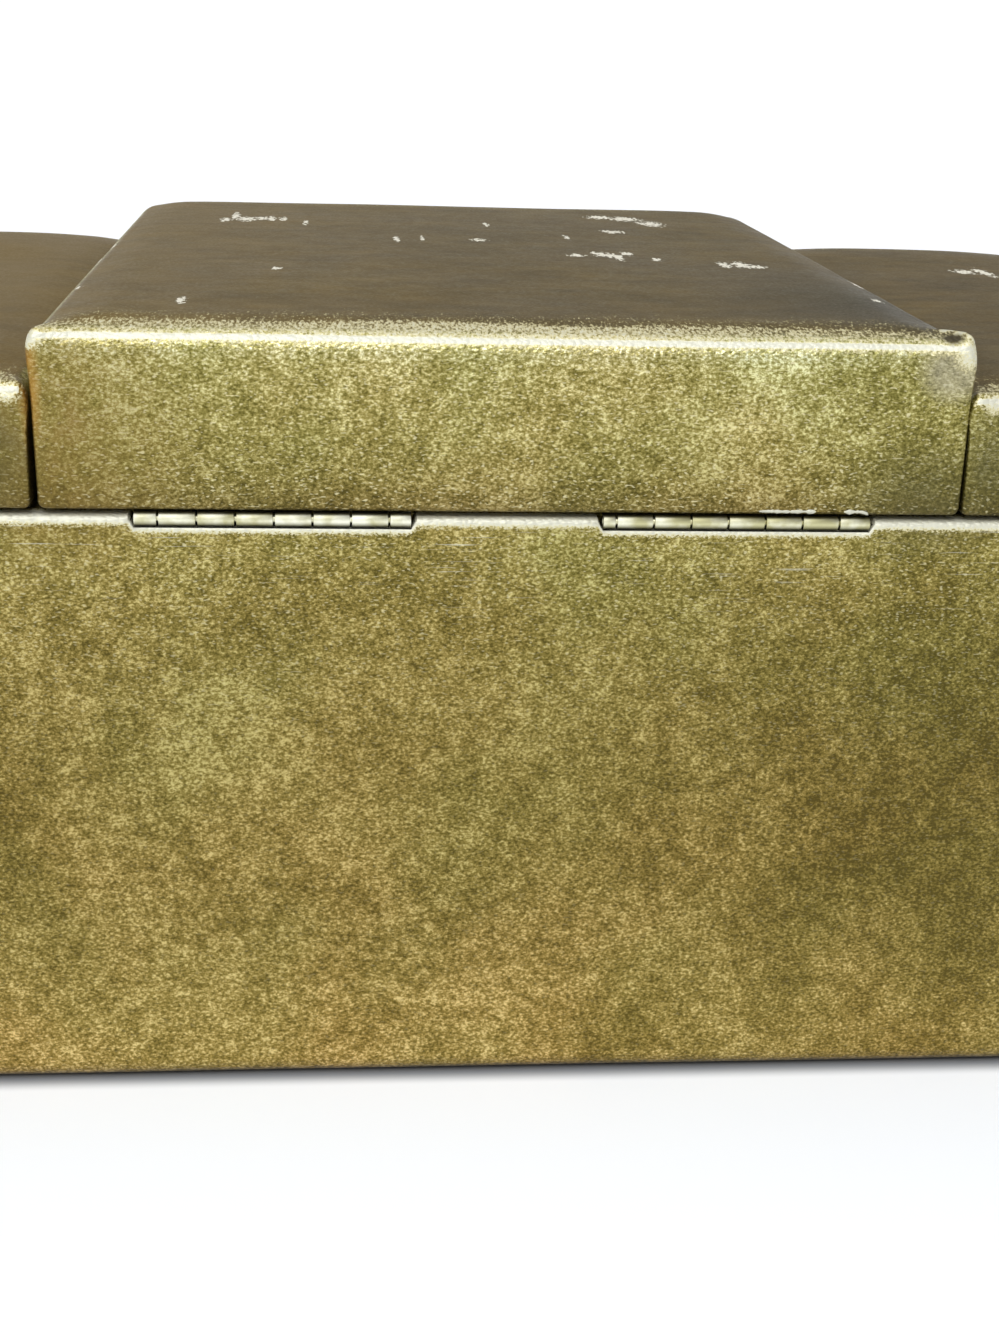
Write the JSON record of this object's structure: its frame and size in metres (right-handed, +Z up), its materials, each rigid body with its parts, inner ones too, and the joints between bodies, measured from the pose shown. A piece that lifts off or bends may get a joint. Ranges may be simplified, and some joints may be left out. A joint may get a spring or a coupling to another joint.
{
  "type": "jewelry box",
  "caption": "Table-top jewelry box in gold grained leatherette with velvet wells, a tall middle lid hinged at the back and a lower hinged lid at each side.",
  "frame": {"origin": "middle of the underside, on the surface that the box stands on", "axes": "+X along the width to the right lid, +Y towards the back with the middle lid's hinges, +Z up; the front faces -Y"},
  "size_m": [0.306, 0.2, 0.134],
  "materials": {
    "gold_leatherette": "metallic pebble grain, worn at the edges",
    "board": "raw fibre board",
    "velvet": "short pile",
    "felt": "pressed felt",
    "hinge_metal": "pale plated, polished",
    "mirror": "silvered glass"
  },
  "bodies": {
    "root": {"base_board": "board", "back_board": "board", "front_board": "board", "left_end_board": "board", "right_end_board": "board", "left_partition": "board", "right_partition": "board", "left_partition_cap": "gold_leatherette", "right_partition_cap": "gold_leatherette", "body_cover": "gold_leatherette", "base_felt": "felt", "centre_well_lining": "velvet", "left_well_lining": "velvet", "right_well_lining": "velvet", "centre_floor_pad": "velvet", "left_front_pad": "velvet", "left_rear_pad": "velvet", "right_front_pad": "velvet", "right_rear_pad": "velvet", "left_divider": "velvet", "right_divider": "velvet", "ring_bank_riser": "velvet", "ring_bank": "velvet", "back_left_hinge_body_leaf": "hinge_metal", "back_left_hinge_pin": "hinge_metal", "back_right_hinge_body_leaf": "hinge_metal", "back_right_hinge_pin": "hinge_metal", "left_front_hinge_body_leaf": "hinge_metal", "left_front_hinge_pin": "hinge_metal", "left_rear_hinge_body_leaf": "hinge_metal", "left_rear_hinge_pin": "hinge_metal", "right_front_hinge_body_leaf": "hinge_metal", "right_front_hinge_pin": "hinge_metal", "right_rear_hinge_body_leaf": "hinge_metal", "right_rear_hinge_pin": "hinge_metal"},
    "centre_lid": {"centre_lid_cover": "gold_leatherette", "centre_lid_frame": "board", "centre_lid_board": "board", "centre_lid_lining": "velvet", "mirror_border": "velvet", "mirror": "mirror", "back_left_hinge_lid_leaf": "hinge_metal", "back_right_hinge_lid_leaf": "hinge_metal"},
    "left_lid": {"left_lid_cover": "gold_leatherette", "left_lid_frame": "board", "left_lid_board": "board", "left_lid_lining": "velvet", "left_front_hinge_lid_leaf": "hinge_metal", "left_rear_hinge_lid_leaf": "hinge_metal"},
    "right_lid": {"right_lid_cover": "gold_leatherette", "right_lid_frame": "board", "right_lid_board": "board", "right_lid_lining": "velvet", "right_front_hinge_lid_leaf": "hinge_metal", "right_rear_hinge_lid_leaf": "hinge_metal"}
  },
  "joints": [
    {"name": "centre_lid_hinge", "type": "hinge", "parent": "root", "child": "centre_lid", "pos_m": [0, 0.09875, 0.1023], "axis": [-1, 0, 0], "range_deg": [0, 105]},
    {"name": "left_lid_hinge", "type": "hinge", "parent": "root", "child": "left_lid", "pos_m": [-0.15175, 0, 0.1023], "axis": [0, -1, 0], "range_deg": [0, 105]},
    {"name": "right_lid_hinge", "type": "hinge", "parent": "root", "child": "right_lid", "pos_m": [0.15175, 0, 0.1023], "axis": [0, 1, 0], "range_deg": [0, 105]}
  ]
}
